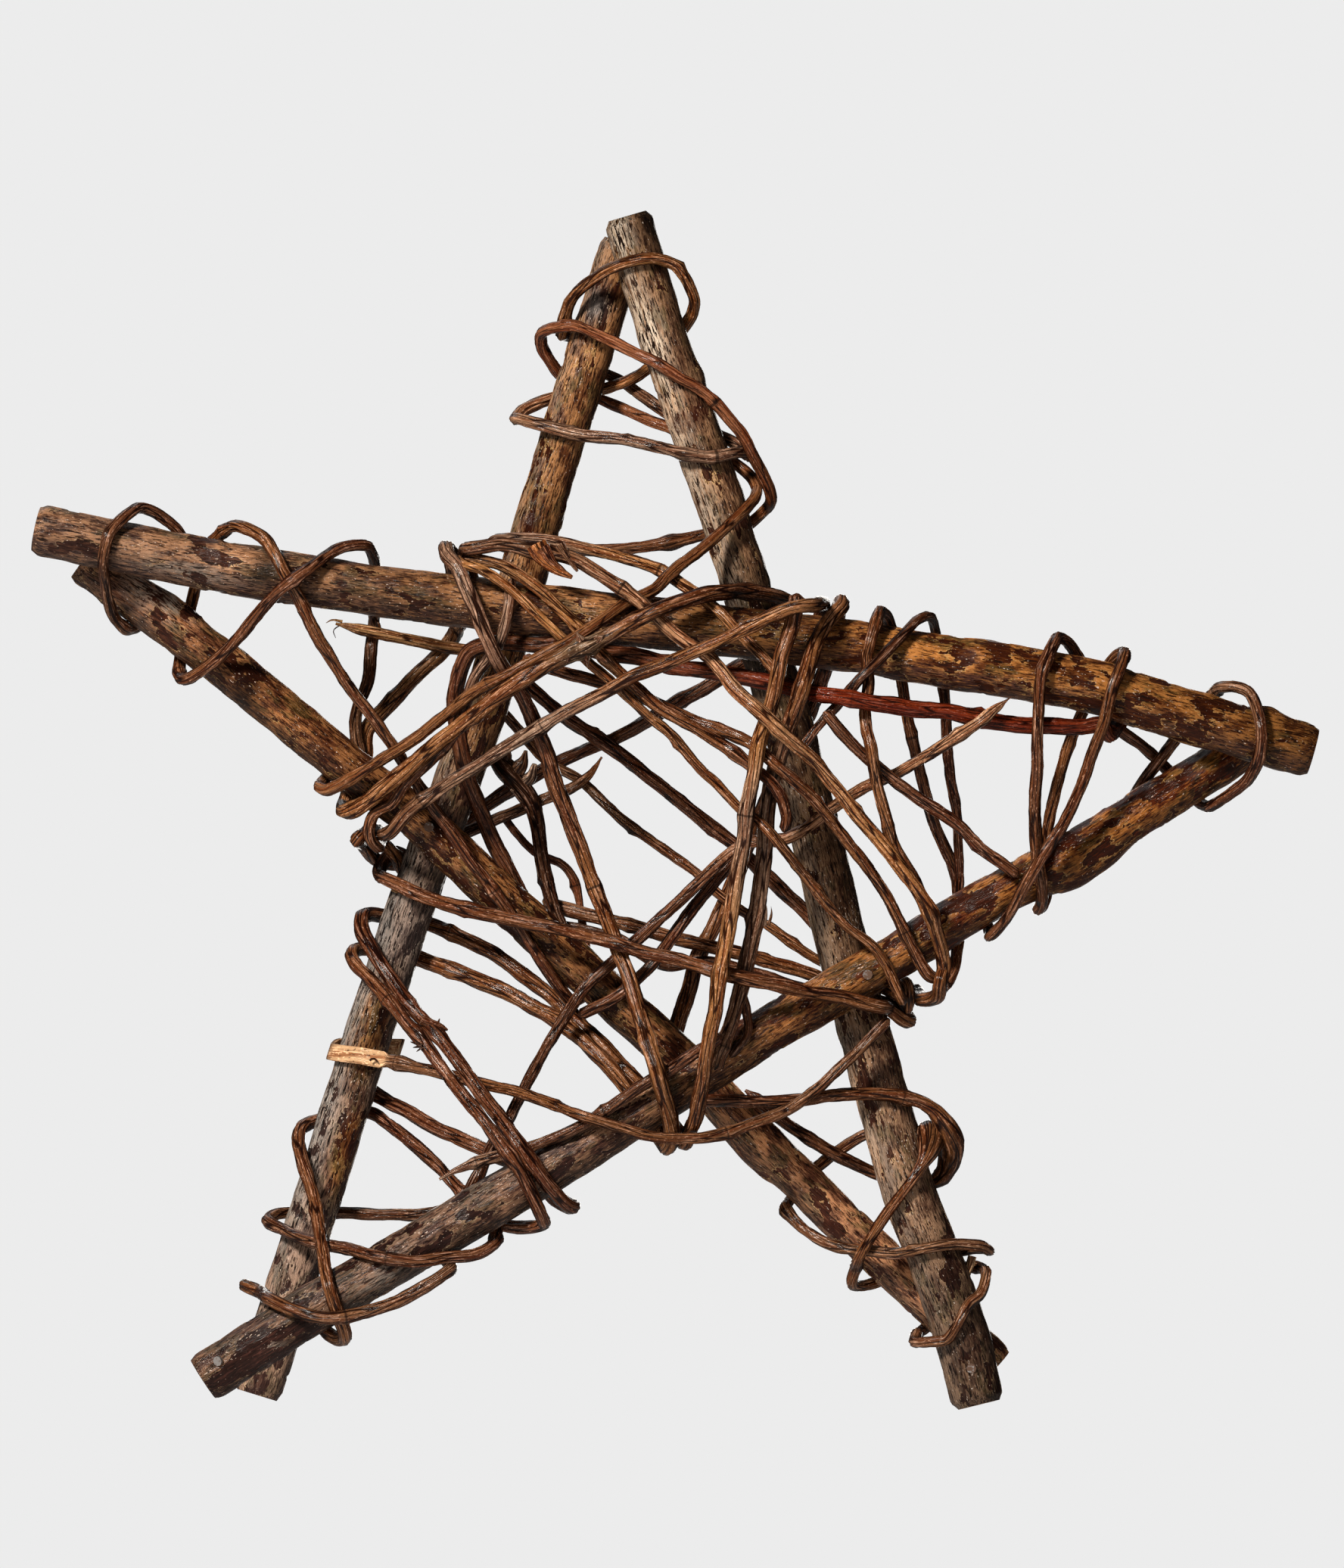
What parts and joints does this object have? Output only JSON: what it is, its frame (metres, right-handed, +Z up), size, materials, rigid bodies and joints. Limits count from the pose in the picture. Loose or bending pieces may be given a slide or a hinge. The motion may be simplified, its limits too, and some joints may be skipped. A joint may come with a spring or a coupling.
{
  "type": "rustic vine star",
  "caption": "Hanging five-pointed star of nailed, unpeeled sticks wound with grapevine from edge to edge, front and back.",
  "frame": {"origin": "in the crotch under the top crossing, where the wall nail carries the star", "axes": "+X to the right along the star's width, +Z up, -Y out of the wall towards the viewer"},
  "size_m": [0.5081, 0.1075, 0.4753],
  "materials": {
    "stick_bark": "mottled bark, peeled in patches, under a thin clear lacquer",
    "brown_vine_bark": "stringy brown bark, ridged lengthwise, semi-gloss",
    "red_vine_bark": "reddish bark, ridged lengthwise, semi-gloss",
    "grey_vine_bark": "grey-brown bark, ridged lengthwise, satin",
    "peeled_vine_wood": "pale, cracked, partly peeled wood, satin",
    "nail_steel": "dull, darkened steel"
  },
  "bodies": {
    "root": {"level_stick": "stick_bark", "right_leg_stick": "stick_bark", "left_leg_stick": "stick_bark", "left_brace_stick": "stick_bark", "right_brace_stick": "stick_bark", "left_foot_nail": "nail_steel", "right_foot_nail": "nail_steel", "left_crossing_nail": "nail_steel", "right_crossing_nail": "nail_steel", "top_coil_vine": "brown_vine_bark", "top_loop_vine": "red_vine_bark", "left_point_vine": "brown_vine_bark", "left_tip_vine": "grey_vine_bark", "long_hook_vine": "grey_vine_bark", "centre_vine": "brown_vine_bark", "left_leg_vine": "brown_vine_bark", "left_foot_vine": "grey_vine_bark", "peeled_vine": "peeled_vine_wood", "right_foot_vine": "brown_vine_bark", "right_foot_hoop_vine": "brown_vine_bark", "right_point_vine": "brown_vine_bark", "right_fan_vine": "brown_vine_bark", "right_pair_vine": "brown_vine_bark", "long_cross_vine": "brown_vine_bark", "cross_vine": "brown_vine_bark", "knotted_vine": "brown_vine_bark", "upper_cross_vine": "brown_vine_bark", "ridge_vine": "brown_vine_bark", "short_loop_vine": "brown_vine_bark", "red_vine": "red_vine_bark", "tan_vine": "peeled_vine_wood", "dark_back_vine": "brown_vine_bark", "broken_back_vine": "peeled_vine_wood", "thin_back_vine": "red_vine_bark", "grey_vine": "grey_vine_bark", "pointed_vine": "brown_vine_bark", "companion_vine": "brown_vine_bark", "slanting_vine": "brown_vine_bark", "cracked_vine": "peeled_vine_wood", "lower_back_vine": "brown_vine_bark", "split_vine": "brown_vine_bark", "small_vine": "brown_vine_bark"}
  },
  "joints": []
}
